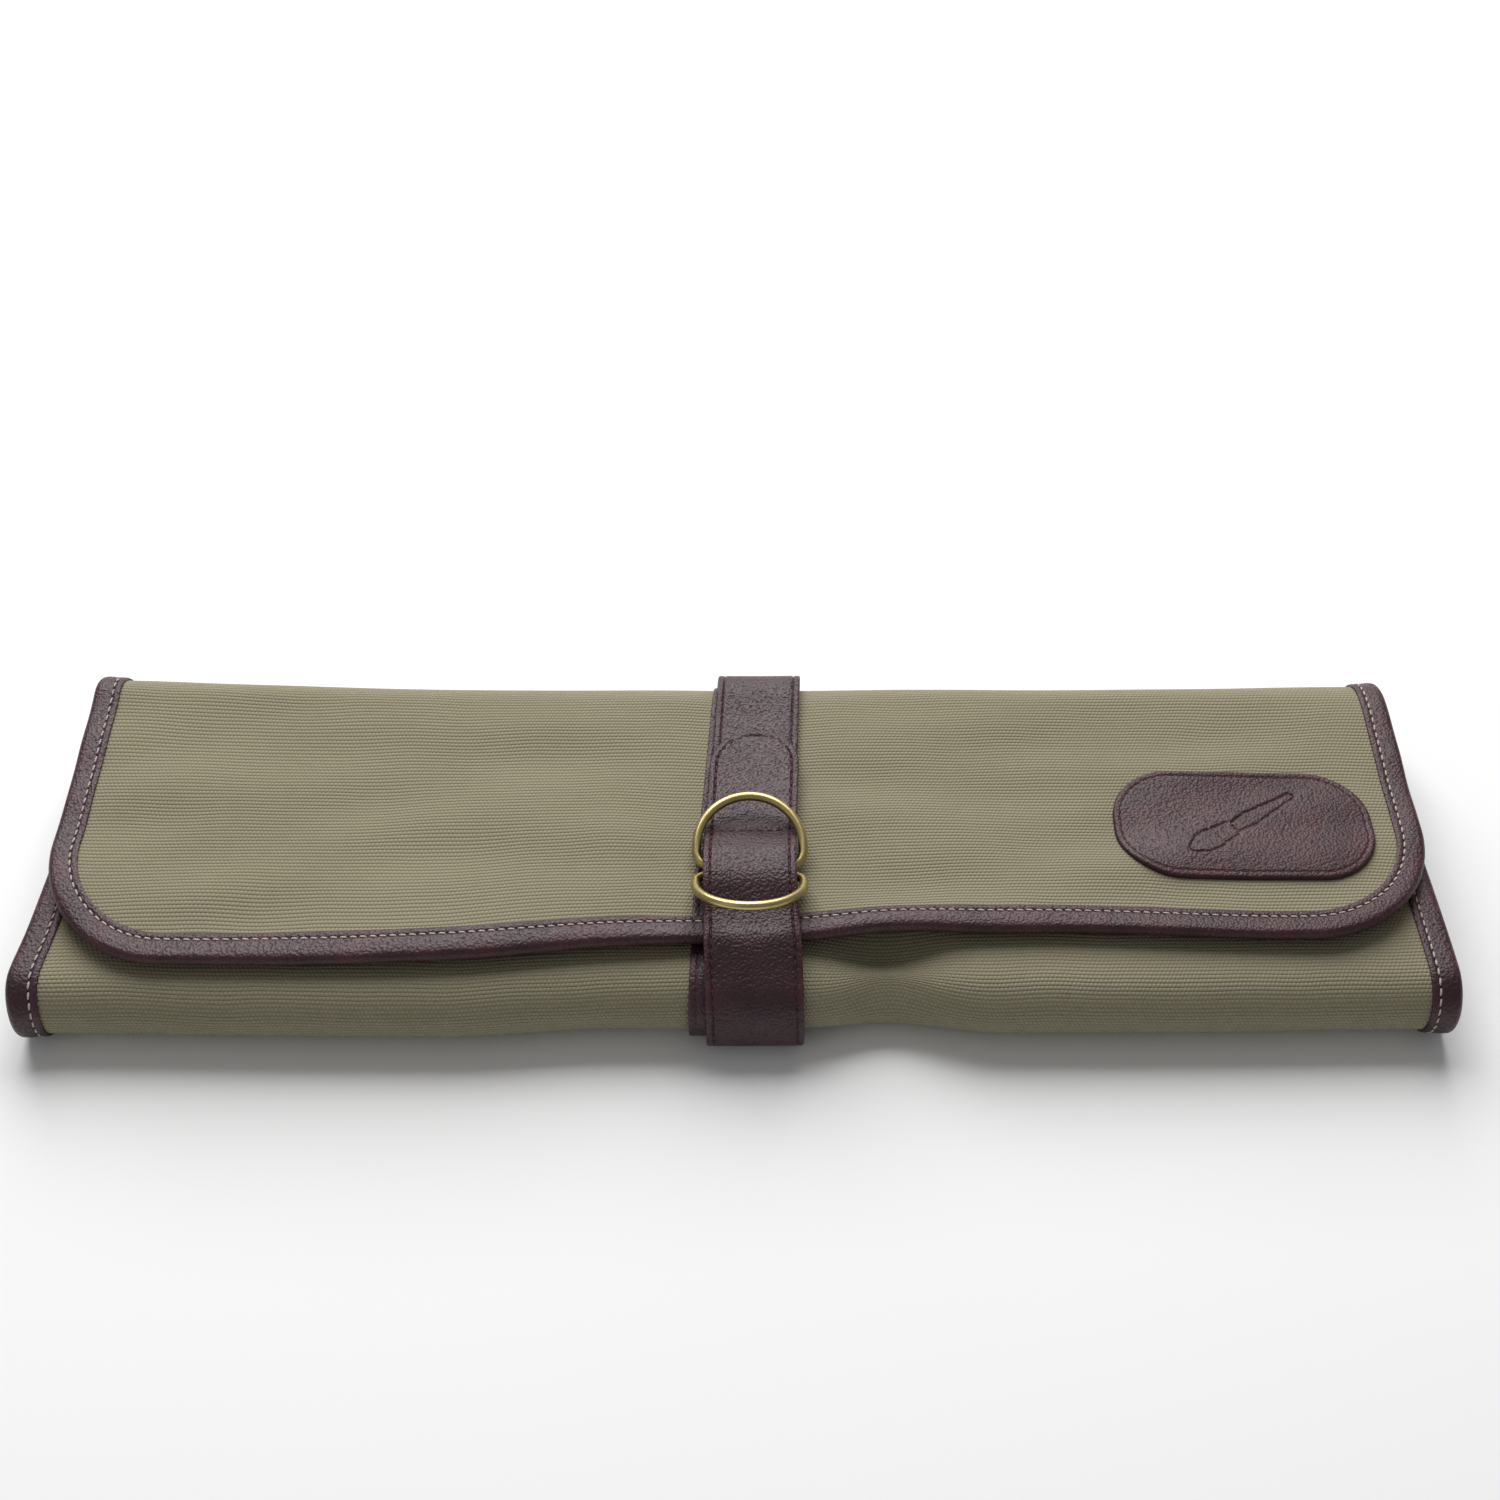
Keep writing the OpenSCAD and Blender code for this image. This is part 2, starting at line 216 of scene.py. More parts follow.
def node(tree, kind, inputs=(), **settings):
    """One shader node. Inputs are values or sockets by name or number, settings are its own."""
    made = tree.nodes.new(kind)
    for key, value in settings.items():
        setattr(made, key, value)
    for key, value in dict(inputs).items():
        if isinstance(value, bpy.types.NodeSocket):
            tree.links.new(value, made.inputs[key])
        else:
            made.inputs[key].default_value = value
    return made


def calc(tree, operation, *values):
    """The result of one Math node."""
    return node(tree, "ShaderNodeMath", enumerate(values), operation=operation).outputs[0]


def vector(tree, operation, inputs):
    """The result of one Vector Math node."""
    return node(tree, "ShaderNodeVectorMath", inputs, operation=operation).outputs[0]


def spread(tree, value, low, high, to_low=0.0, to_high=1.0):
    """A value mapped from one range to another, held at both ends."""
    inputs = {0: value, 1: low, 2: high, 3: to_low, 4: to_high}
    return node(tree, "ShaderNodeMapRange", inputs).outputs[0]


def mixed(tree, factor, a, b):
    """Two colours mixed by a factor."""
    return node(tree, "ShaderNodeMix", {0: factor, 6: a, 7: b}, data_type="RGBA").outputs[2]


def scaled(color, share):
    """A colour scaled by a share, held at 1."""
    return tuple(min(1, share * v) for v in color[:3]) + (1,)


def effect(name, inputs, outputs):
    """An empty shader node group with its named inputs, their values, and its outputs."""
    tree = bpy.data.node_groups.new(name, "ShaderNodeTree")
    for label, kind, value in inputs:
        socket = tree.interface.new_socket(label, in_out="INPUT", socket_type=kind)
        if value is not None:
            socket.default_value = value
    for label, kind in outputs:
        tree.interface.new_socket(label, in_out="OUTPUT", socket_type=kind)
    source = tree.nodes.new("NodeGroupInput").outputs
    return tree, source, tree.nodes.new("NodeGroupOutput").inputs


def finish_with(name):
    """A new material: its tree, its Principled shader and its UV socket."""
    material = bpy.data.materials.new(name)
    material.use_nodes = True
    tree = material.node_tree
    place = node(tree, "ShaderNodeUVMap", uv_map="UVMap").outputs[0]
    return material, tree, tree.nodes["Principled BSDF"].inputs, place


def bump_up(tree, shader, height, distance):
    """Bumps the surface by a height between 0 and 1, times a distance in metres."""
    bump = node(tree, "ShaderNodeBump", {"Height": height, "Distance": distance})
    tree.links.new(bump.outputs[0], shader["Normal"])


FLOAT, VECTOR = "NodeSocketFloat", "NodeSocketVector"

# weave: ribs are half sines across V, broken into beads along U that step half a bead
# from one rib to the next
weave, source, out = effect(
    "duck_weave",
    [("Place", VECTOR, None), ("Rib", FLOAT, 1.35), ("Bead", FLOAT, 1.0)],
    [("Height", FLOAT), ("Gap", FLOAT), ("Slub", FLOAT)],
)
wander = node(weave, "ShaderNodeTexNoise", {0: source[0], "Scale": 24, "Detail": 1}).outputs[1]
wander = vector(weave, "SUBTRACT", {0: wander, 1: (0.5, 0.5, 0.5)})
wander = vector(weave, "SCALE", {0: wander, 3: 0.0036})
moved = vector(weave, "ADD", {0: source[0], 1: wander})
moved = vector(weave, "SCALE", {0: moved, 3: 1000})
parts = node(weave, "ShaderNodeSeparateXYZ", {0: moved}).outputs
across = calc(weave, "DIVIDE", parts[1], source[1])
row = calc(weave, "FLOOR", across)
rib = calc(weave, "SINE", calc(weave, "MULTIPLY", calc(weave, "FRACT", across), np.pi))
along = calc(weave, "DIVIDE", parts[0], source[2])
along = calc(weave, "ADD", along, calc(weave, "MULTIPLY", row, 0.5))
bead = calc(weave, "COSINE", calc(weave, "MULTIPLY", along, 2 * np.pi))
bead = calc(weave, "MULTIPLY_ADD", bead, 0.34, 0.66)
height = calc(weave, "MULTIPLY", calc(weave, "POWER", rib, 0.7), bead)
weave.links.new(height, out[0])
# Gap is 1 between the ribs: the materials paint shade into the cloth's colour there
weave.links.new(spread(weave, height, 0.55, 0.05), out[1])
yarn = vector(weave, "MULTIPLY", {0: source[0], 1: (230, 740, 1)})
slub = node(weave, "ShaderNodeTexNoise", {0: yarn, "Scale": 1, "Detail": 2})
weave.links.new(slub.outputs[0], out[2])

# handling: broad, soft patches where hands and shelves have rubbed and faded a surface
handling, source, out = effect(
    "handling", [("Place", VECTOR, None), ("Scale", FLOAT, 11.0)], [("Patch", FLOAT)]
)
soft = node(handling, "ShaderNodeTexNoise", {0: source[0], "Scale": source[1], "Detail": 4})
handling.links.new(spread(handling, soft.outputs[0], 0.35, 0.68), out[0])


def placed(tree, group, **inputs):
    """An effect's group placed in a material, with its inputs."""
    return node(tree, "ShaderNodeGroup", inputs, node_tree=group)


def woven(name, dark, light, rib, bead, depth):
    """Cloth with the duck weave: darkened between the ribs as painted shade, its own colour on them,
    streaked by slubs.
    """
    material, tree, shader, place = finish_with(name)
    cloth = placed(tree, weave, Place=place, Rib=rib, Bead=bead)
    worn = placed(tree, handling, Place=place)
    streak = spread(tree, cloth.outputs["Slub"], 0.2, 0.8, 0.3, 0.7)
    base = mixed(tree, streak, dark, light)
    faded = mixed(tree, calc(tree, "MULTIPLY", worn.outputs[0], 0.5), base, light)
    # painted shade: the colour is darkened between the ribs, where the weave's recesses would fall in
    # shade
    shade = calc(tree, "MULTIPLY", cloth.outputs["Gap"], 0.55)
    color = mixed(tree, shade, faded, scaled(dark, 0.45))
    tree.links.new(color, shader["Base Color"])
    rough = spread(tree, cloth.outputs["Height"], 0, 1, 0.95, 0.82)
    tree.links.new(rough, shader["Roughness"])
    bump_up(tree, shader, cloth.outputs["Height"], depth)
    shader["Sheen Weight"].default_value = 0.1
    shader["Sheen Roughness"].default_value = 0.5
    shader["Specular IOR Level"].default_value = 0.15
    return material


canvas = woven("canvas", (0.262, 0.233, 0.148, 1), (0.352, 0.319, 0.218, 1), 1.3, 1.3, 0.0004)


def steps(*stops, size=2.0):
    """Positions through the given stops, evenly spaced between each two, about size apart."""
    runs = [
        np.linspace(a, b, max(2, int(np.ceil(abs(b - a) / size)) + 1))[:-1]
        for a, b in zip(stops[:-1], stops[1:])
    ]
    return np.concatenate([*runs, stops[-1:]])


def paired(a, b):
    """Two arrays brought to one shape and put side by side, as a UV is."""
    return np.stack(np.broadcast_arrays(a, b), -1)


def cloth_length(name, s, outer, inner, material):
    """A length of the panel's cloth between depths outer and inner. Each row is as wide as
    the panel there: the full width, or less beside the flap's round corners."""
    past = np.clip(s - CORNER_FROM, 0, CLOTH_CORNER)
    reach = HALF - FLAP_CORNER + np.sqrt(CLOTH_CORNER**2 - past**2)
    x = reach[:, None] * np.linspace(-1, 1, 161)
    s = s[:, None]
    return shell(name, on_panel(x, s, -outer), on_panel(x, s, -inner), paired(x, s), material)


# the flap's rows lie closer together towards its round-cornered front edge
turn = np.linspace(0, np.pi / 2, 26)[1:]
corner_rows = CORNER_FROM + CLOTH_CORNER * np.sin(turn)
LENGTHS = {
    "inner": steps(CLOTH_INSET, S_SECOND, S_FRONT, S_BASE, S_UNDER, size=2.1),
    "base": steps(S_UNDER, S_BACK, S_MID, size=1.8),
    "flap": np.concatenate([steps(S_MID, S_FLAP, CORNER_FROM), corner_rows]),
}
for part, rows in LENGTHS.items():
    piece = cloth_length(f"canvas_{part}", rows, 0.0, CANVAS_T, canvas)
    go_with(piece, part)
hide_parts("roll_canvas")
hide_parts("roll_canvas", "back_canvas")
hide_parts("flap_canvas")


# ---------------------------------------------------------------- lining
# Thinner, darker cotton drill, laid against the canvas and caught with it in the binding.
LINING_T = 0.8
drill = woven("lining", (0.115, 0.100, 0.062, 1), (0.190, 0.168, 0.110, 1), 0.8, 0.7, 0.00022)
for part, rows in LENGTHS.items():
    piece = cloth_length(f"lining_{part}", rows, CANVAS_T, CANVAS_T + LINING_T, drill)
    go_with(piece, part)
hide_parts("roll_lining")
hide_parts("roll_lining", "back_lining")
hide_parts("flap_lining")


# ---------------------------------------------------------------- binding
# A strip of dark, pebbled leather folded over the cloth's edge and sewn through all the layers
# with pale thread. One strip runs round the flap and meets itself in a butt join on the front
# edge; others run down the roll's two ends and across the panel's inner end.
BIND_W = 9.0
CLOTH_T = CANVAS_T + LINING_T
SEAM_W = 6.7  # the seam's distance from the bound edge
LAY_GAP = 0.03  # between two layers that lie on each other

# grain: pebbles from Voronoi cells, with soft valleys between them and fine pores on top
grain, source, out = effect(
    "leather_grain",
    [("Place", VECTOR, None), ("Pebbles", FLOAT, 1100.0)],
    [("Height", FLOAT), ("Valley", FLOAT), ("Mottle", FLOAT)],
)
warp = node(grain, "ShaderNodeTexNoise", {0: source[0], "Scale": 260, "Detail": 2}).outputs[1]
warped = vector(grain, "ADD", {0: source[0], 1: vector(grain, "SCALE", {0: warp, 3: 0.0003})})
cells = node(
    grain, "ShaderNodeTexVoronoi", {0: warped, "Scale": source[1]}, feature="SMOOTH_F1"
)
valley = spread(grain, cells.outputs["Distance"], 0.15, 0.85)
pores = node(grain, "ShaderNodeTexNoise", {0: source[0], "Scale": 2600, "Detail": 3})
dome = calc(grain, "SUBTRACT", 1.0, calc(grain, "POWER", valley, 1.6))
rise = calc(grain, "MULTIPLY_ADD", pores.outputs[0], 0.22, dome)
mottle = node(grain, "ShaderNodeTexNoise", {0: source[0], "Scale": 75, "Detail": 4})
grain.links.new(rise, out[0])
grain.links.new(valley, out[1])
grain.links.new(spread(grain, mottle.outputs[0], 0.32, 0.68), out[2])

# edge wear: strongest within a reach of either long edge, broken up by noise
edge_wear, source, out = effect(
    "edge_wear",
    [("Place", VECTOR, None), ("Half", FLOAT, 15.0), ("Reach", FLOAT, 1.2)],
    [("Wear", FLOAT)],
)
sides = node(edge_wear, "ShaderNodeSeparateXYZ", {0: source[0]}).outputs[0]
inside = calc(edge_wear, "ABSOLUTE", calc(edge_wear, "MULTIPLY", sides, 1000))
inside = calc(edge_wear, "SUBTRACT", source[1], inside)
near = calc(edge_wear, "SUBTRACT", 1.0, calc(edge_wear, "DIVIDE", inside, source[2]))
near = node(edge_wear, "ShaderNodeClamp", {0: near}).outputs[0]
rub = node(edge_wear, "ShaderNodeTexNoise", {0: source[0], "Scale": 420, "Detail": 5})
broken = calc(edge_wear, "MULTIPLY", near, spread(edge_wear, rub.outputs[0], 0.3, 0.6))
edge_wear.links.new(broken, out[0])


def leather(name, dark, light, pebbles, half_width, depth=0.00016, gloss=0.42):
    """Pigmented leather: valleys darkened as painted shade, mottled, and rubbed at its edges.
    The piece's UV is across it, from its middle, and along it."""
    material, tree, shader, place = finish_with(name)
    hide = placed(tree, grain, Place=place, Pebbles=pebbles)
    wear = placed(tree, edge_wear, Place=place, Half=half_width)
    base = mixed(tree, hide.outputs["Mottle"], dark, light)
    # painted shade: the grain's valleys are darkened, as if shaded between the pebbles
    low = calc(tree, "MULTIPLY", hide.outputs["Valley"], 0.35)
    base = mixed(tree, low, base, scaled(dark, 0.35))
    rubbed = calc(tree, "MULTIPLY", wear.outputs[0], 0.35)
    color = mixed(tree, rubbed, base, scaled(light, 2.2))
    tree.links.new(color, shader["Base Color"])
    rough = spread(tree, hide.outputs["Valley"], 0, 1, gloss, gloss + 0.22)
    tree.links.new(rough, shader["Roughness"])
    bump_up(tree, shader, hide.outputs["Height"], depth)
    shader["Specular IOR Level"].default_value = 0.46
    return material


MAROON, MAROON_LIGHT = (0.032, 0.0075, 0.0115, 1), (0.070, 0.0185, 0.0260, 1)
binding_leather = leather("binding_leather", MAROON, MAROON_LIGHT, 1350.0, 20.0, 0.00024, 0.38)


def length_along(a, b):
    """Length walked along a line of two coordinates, at each of its points."""
    return np.concatenate([[0], np.cumsum(np.hypot(np.diff(a), np.diff(b)))])


def channel(name, x, s, inward, length):
    """Leather folded over an edge. The edge runs through x and s, inward is its unit normal
    in the panel, and the profile is carried along it: a flat leg above the canvas, a round
    nose past the edge and a flat leg below the lining."""
    nose = np.radians(np.linspace(90, 270, 13))
    middle = -CLOTH_T / 2
    leg = np.array([9.0, 8.7, 8.2, 7.6, 7.15, 6.9, 6.7, 6.5, 6.25, 5.8, 4.8, 3.6, 2.6])
    dip = 0.34 * bell(leg, SEAM_W, 0.33) + 0.30 * ease(leg, 8.4, 9.05)
    puff = 0.35 * bell(leg, 2.4, 2.4)
    top = 1.0 - dip + puff
    out_w = np.concatenate([leg, 1.7 + 2.0 * np.cos(nose), leg[::-1]])
    out_h = np.concatenate([top, middle + 2.3 * np.sin(nose), -CLOTH_T - top[::-1]])
    in_w = np.maximum(np.concatenate([leg, 2.1 + 1.1 * np.cos(nose), leg[::-1]]), 0.85)
    flat = leg * 0 + LAY_GAP
    in_h = np.concatenate([flat, middle + 1.03 * np.sin(nose), -CLOTH_T - flat])
    round_it = length_along(out_w, out_h)
    uv = paired(round_it - round_it[-1] / 2, length[:, None])

    def carried(w, h):
        return on_panel(x[:, None] + inward[:, :1] * w, s[:, None] + inward[:, 1:] * w, h)

    return shell(name, carried(out_w, out_h), carried(in_w, in_h), uv, binding_leather)


def flap_edge(size=2.0):
    """The flap's bound edge, from the left side round both corners to the right side: points
    x and s, unit normals pointing inwards, and the length walked."""
    straight = steps(S_MID, S_FLAP, CORNER_FROM, size=size)
    turn = np.linspace(0, np.pi / 2, round(np.pi / 2 * FLAP_CORNER / size))[1:]
    front = steps(HALF - FLAP_CORNER, FLAP_CORNER - HALF, size=size)[1:-1]
    out_x = np.concatenate([straight * 0 + 1, np.cos(turn)])
    out_s = np.concatenate([straight * 0, np.sin(turn)])
    side_x = HALF - FLAP_CORNER + FLAP_CORNER * out_x
    side_s = np.concatenate([straight, CORNER_FROM + FLAP_CORNER * np.sin(turn)])
    x = np.concatenate([-side_x, -front, side_x[::-1]])
    s = np.concatenate([side_s, front * 0 + S_END, side_s[::-1]])
    in_x = np.concatenate([out_x, front * 0, -out_x[::-1]])
    in_s = np.concatenate([-out_s, front * 0 - 1, -out_s[::-1]])
    return x, s, np.stack([in_x, in_s], -1), length_along(x, s)


JOIN_X, JOIN_GAP = -141.0, 0.05
SIDES = ((-1, "left"), (1, "right"))
x, s, inward, walked = flap_edge()
join = int(np.argmin(np.abs(x - JOIN_X) + 1000 * (s < S_END - 1)))
bindings = {"inner": [], "base": [], "flap": []}
for (side, hand), cut, cut_end in zip(SIDES, (slice(join + 1), slice(join, None)), (-1, 0)):
    edge_x = x[cut].copy()
    edge_x[cut_end] += side * JOIN_GAP
    piece = channel(f"binding_flap_{hand}", edge_x, s[cut], inward[cut], walked[cut])
    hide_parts("flap_binding")
    bindings["flap"].append(piece)
for side, hand in SIDES:
    for part, rows in (
        ("inner", steps(0.0, S_SECOND, S_FRONT, S_BASE, S_UNDER, size=2.0)),
        ("base", steps(S_UNDER, S_BACK, S_MID, size=1.8)),
    ):
        inward = paired(-side + rows * 0, 0)
        piece = channel(f"binding_{part}_{hand}", rows * 0 + side * HALF, rows, inward, rows)
        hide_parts(f"roll_binding_{hand}")
        if part == "base":
            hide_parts(f"back_binding_{hand}")
        bindings[part].append(piece)
x = steps(BIND_W - HALF, HALF - BIND_W, size=3.0)
piece = channel("binding_inner_end", x, x * 0, paired(0, x * 0 + 1), x)
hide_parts("inner_end_binding")
bindings["inner"].append(piece)
for part, pieces in bindings.items():
    for piece in pieces:
        go_with(piece, part)


# ---------------------------------------------------------------- binding thread
# Pale cotton thread, sewn through binding and cloth in stitches of 2.2 mm every 3.1 mm. Each
# stitch shows on both faces, its ends pulled down into their holes.
PITCH = 3.1
SEAM_H = 0.88  # height of the stitches above the cloth


def twisted(name, dark, light):
    """Two-ply thread: diagonal bands along each stitch, from its UV, darker in the grooves between
    the plies as painted shade.
    """
    material, tree, shader, place = finish_with(name)
    inputs = {0: place, "Scale": 900, "Distortion": 0.4}
    bands = node(tree, "ShaderNodeTexWave", inputs, bands_direction="DIAGONAL").outputs["Fac"]
    # painted shade: the bands darken the thread's colour in the grooves between its plies
    tree.links.new(mixed(tree, bands, dark, light), shader["Base Color"])
    shader["Roughness"].default_value = 0.75
    bump_up(tree, shader, bands, 0.0001)
    return material


pale_thread = twisted("pale_thread", (0.36, 0.29, 0.27, 1), (0.72, 0.64, 0.60, 1))


def stitches(name, centres, along, place, material, length=2.2, radius=0.3, slant=0.1):
    """One mesh of small capsules. centres and along are n by 2 in some sheet's own two
    coordinates, and place turns those and a height into points. A stitch is a ring swept
    along its length, its radius and height falling off at both ends as an ellipse."""
    n, rings, sides = len(centres), 7, 6
    t = np.linspace(-1, 1, rings)
    a = np.radians(np.arange(sides) * 360 / sides)
    swell = np.sqrt(1 - (0.97 * t) ** 2) ** 0.5
    run = length / 2 * t
    ring = radius * swell[:, None]
    side = (ring * np.cos(a))[None] + slant * t[None, :, None]
    high = ring * np.sin(a) * 0.8 - 0.25 * (1 - swell[:, None]) + 0.1
    normal = np.stack([-along[:, 1], along[:, 0]], -1)
    flat = (
        centres[:, None, None]
        + along[:, None, None] * run[None, :, None, None]
        + normal[:, None, None] * side[..., None]
    )
    points = place(flat[..., 0], flat[..., 1], np.broadcast_to(high, flat.shape[:3]))
    at = np.arange(n * rings * sides).reshape(n, rings, sides)
    turned = np.roll(at, -1, axis=2)
    body = np.stack([at[:, :-1], at[:, 1:], turned[:, 1:], turned[:, :-1]], -1)
    caps = [at[:, 0, [0, 1, 2, 3]], at[:, 0, [0, 3, 4, 5]]]
    caps += [at[:, -1, [3, 2, 1, 0]], at[:, -1, [5, 4, 3, 0]]]
    faces = np.concatenate([body.reshape(-1, 4), *caps])
    u = np.arange(n)[:, None, None] * 0.004 + (run * 0.001)[:, None]
    uv = paired(u, np.arange(sides) * 0.0003).reshape(-1, 2)[faces]
    return mesh_piece(name, points.reshape(-1, 3), faces, uv, material, crease=180)


def along_line(x, s, pitch=PITCH):
    """Evenly spaced places on a line of x and s, with the line's direction at each."""
    walked = length_along(x, s)
    at = np.arange(pitch * 0.7, walked[-1] - pitch * 0.4, pitch)

    def reached(length):
        return np.stack([np.interp(length, walked, x), np.interp(length, walked, s)], -1)

    way = reached(at + 0.5) - reached(at - 0.5)
    return reached(at), way / np.linalg.norm(way, axis=1)[:, None]


def sewn_both_faces(name, x, s, part):
    """A row of binding stitches above the canvas and another below the lining."""
    centres, way = along_line(x, s)
    for face, up, base in (("top", 1, SEAM_H), ("under", -1, -CLOTH_T - SEAM_H)):

        def place(x, s, h, base=base, up=up):
            return on_panel(x, s, base + up * h)

        piece = stitches(f"{name}_{face}", centres, way, place, pale_thread, radius=0.34)
        bindings[part].append(go_with(piece, part))


x, s, inward, walked = flap_edge(1.0)
sewn_both_faces("stitches_flap", x + SEAM_W * inward[:, 0], s + SEAM_W * inward[:, 1], "flap")
for side, hand in SIDES:
    for part, first, last in (("inner", 2.0, S_UNDER), ("base", S_UNDER, S_MID)):
        s = steps(first, last, size=1.0)
        sewn_both_faces(f"stitches_{part}_{hand}", s * 0 + side * (HALF - SEAM_W), s, part)
x = steps(BIND_W - HALF, HALF - BIND_W)
sewn_both_faces("stitches_inner_end", x, x * 0 + SEAM_W, "inner")


# ---------------------------------------------------------------- brush sleeves
# A sheet of drill sewn to the lining in rows, so that it stands up in five narrow arches, shut
# at the left end and open at the right. Each holds one brush by its handle.
SLEEVES, SLEEVE_FROM, SLEEVE_PITCH, SLEEVE_RISE = 5, -37.0, 16.63, 6.9
SHUT_END, MOUTH_END = -215.8, 46.0
LINING_TOP, DRILL_T = 7.33, 0.8
across = np.linspace(0, SLEEVES, SLEEVES * 22 + 1)
x = steps(SHUT_END, -196, MOUTH_END, size=3.0)
phase = across % 1.0
arch = np.sqrt(np.clip(1 - ((phase - 0.5) / 0.43) ** 2, 0, 1))
x = x[:, None] + across * 0
mouth = ease(x, -215, -199) * (1 + 0.05 * ease(x, 30, MOUTH_END))
slack = 1 - 0.07 * (1 + np.sin(x / 21 + 1.7 * np.floor(across)))
standing = arch * mouth * slack
y = SLEEVE_FROM + SLEEVE_PITCH * across + x * 0
top = settle(x, y, LINING_TOP + DRILL_T + SLEEVE_RISE * standing, x * 0)
low = settle(x, y, LINING_TOP + (SLEEVE_RISE - 0.1) * standing, x * 0)
length = length_along(across * SLEEVE_PITCH, arch * 6.5)
sleeves = shell("brush_sleeves", top, low, paired(x, length), drill)
go_with(sleeves, "inner")
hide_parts("sleeve_panel")


# ---------------------------------------------------------------- tip guard
# A flap of drill sewn at the right end of the inner turn and folded back over the mouths of the
# sleeves, so that no brush slides out and its tip isn't bent.
GUARD_R, GUARD_LOW = 3.6, 8.75
GUARD_FRONT, GUARD_BACK = -38.8, 42.0
turn = np.radians(np.linspace(-90, 90, 17))
over = steps(214.0, 31.0, size=4)
fold_x = np.concatenate([[207.5, 213.0], 219.4 + GUARD_R * np.cos(turn), over])
fold_z = np.concatenate([[0, 0], GUARD_R * (1 + np.sin(turn)), 2 * GUARD_R + 0.3 * np.sin(over / 24)])
path = np.stack([fold_x, GUARD_LOW + fold_z], -1)
way = np.gradient(path, axis=0)
way /= np.linalg.norm(way, axis=1)[:, None]
y = np.linspace(GUARD_FRONT, GUARD_BACK, 30)


def guard_face(depth):
    """The guard's face at a depth from its middle, its path in X and Z carried along Y."""
    px = (path[:, 0] + depth * way[:, 1])[:, None] + y * 0
    pz = (path[:, 1] - depth * way[:, 0])[:, None] + y * 0
    return settle(px, y + px * 0, pz, px * 0)


walked = length_along(*path.T)
faces = guard_face(DRILL_T / 2), guard_face(-DRILL_T / 2)
guard = shell("tip_guard_cloth", *faces, paired(walked[:, None], y), drill)
go_with(guard, "inner")
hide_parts("tip_guard")


# ---------------------------------------------------------------- band
# A plain band of the same leather, sewn flat to the canvas all the way round, which carries the
# pull of the strap. It shows as a narrow step at the strap's left.
STRAP_HALF, STRAP_X, BAND_T = 15.0, 3.5, 1.0
OXBLOOD, OXBLOOD_LIGHT = (0.029, 0.0085, 0.0130, 1), (0.058, 0.0180, 0.0255, 1)
strap_leather = leather("strap_leather", OXBLOOD, OXBLOOD_LIGHT, 1350.0, STRAP_HALF, 0.0003, 0.38)
maroon_thread = twisted("maroon_thread", (0.060, 0.012, 0.018, 1), (0.150, 0.032, 0.045, 1))
ROW_IN = 2.3  # the edge seams' distance from the strap's edges
edge = [0, 0.12, 0.3, 0.6, 1.0, 1.6, 2.0, 2.15, 2.3, 2.45, 2.6, 3.0, 4.2, 6.5, 9.5, 12.5]
edge = STRAP_HALF - np.array(edge)
ACROSS = np.concatenate([-edge, edge[::-1]])


def strap_profile(inside, thick):
    """Half the strap's thickness at a distance inside its outline: a round cut edge and a
    groove along the seam."""
    shoulder = np.sqrt(1 - (1 - np.clip(inside / 1.0, 0, 1)) ** 2)
    return thick / 2 * (0.42 + 0.58 * shoulder) - 0.22 * bell(inside, ROW_IN, 0.26)


def band_middle(y):
    """The band's middle: it slants a little to the right towards the back."""
    return 0.75 + np.where(y > -22, 0.0625, 0.035) * (y + 22)


def band_stand(s):
    """How far the stiff band stands off the canvas: most at the foot of the front fold."""
    return 1.2 * bell(s, S_FRONT + 24, 12)


def on_band(x, s, h):
    """A point x from the band's middle, s along the panel and h above the band's foot."""
    return on_panel(band_middle(wind(s)[0]) + x, s, band_stand(s) + h)


def sewn_rows(name, lines, place):
    """Maroon stitches along lines of two coordinates, which place turns into points."""
    centres, ways = (np.concatenate(v) for v in zip(*(along_line(*line) for line in lines)))
    return stitches(name, centres, ways, place, maroon_thread, radius=0.26, slant=0.05)


profile = BAND_T / 2 + strap_profile(STRAP_HALF - np.abs(ACROSS), BAND_T)
for part, rows, *stood in (
    ("inner", steps(S_FRONT - 23.85, S_FRONT, S_BASE, S_UNDER, size=1.5), "roll_band"),
    ("base", steps(S_UNDER, S_BACK, S_MID, size=1.5), "roll_band", "back_band"),
    ("flap", steps(S_MID, S_FLAP, S_END - 8.8, size=1.5), "flap_band"),
):
    s = rows[:, None]
    faces = on_band(ACROSS, s, profile), on_band(ACROSS, s, LAY_GAP)
    piece = shell(f"band_{part}", *faces, paired(ACROSS, s), strap_leather)
    go_with(piece, part)
    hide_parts(*stood)
    lines = [(side * (STRAP_HALF - ROW_IN) + rows * 0, rows) for side in (-1, 1)]
    thread = sewn_rows(f"band_stitches_{part}", lines, lambda x, s, h: on_band(x, s, 0.72 + h))
    go_with(thread, part)


# ---------------------------------------------------------------- ring strap
# Two layers of leather sewn edge to edge. It starts on the back fold, runs over the flap on
# top of the band, folds round the bars of both rings and is sewn back on itself.
BAR_Y, BAR_Z = (-24.2, -20.5), 34.85


def strap_middle(y):
    """The strap's middle: straight through the rings, and slanting to the right either side."""
    out = y + 22
    bend = np.sqrt(out**2 + 60) - 7.75
    return STRAP_X + bend * np.where(out > 0, 0.043, 0.045)


def path_length(path):
    """Length walked along a path of y and z, at each of its points."""
    return length_along(path[:, 0], path[:, 1])


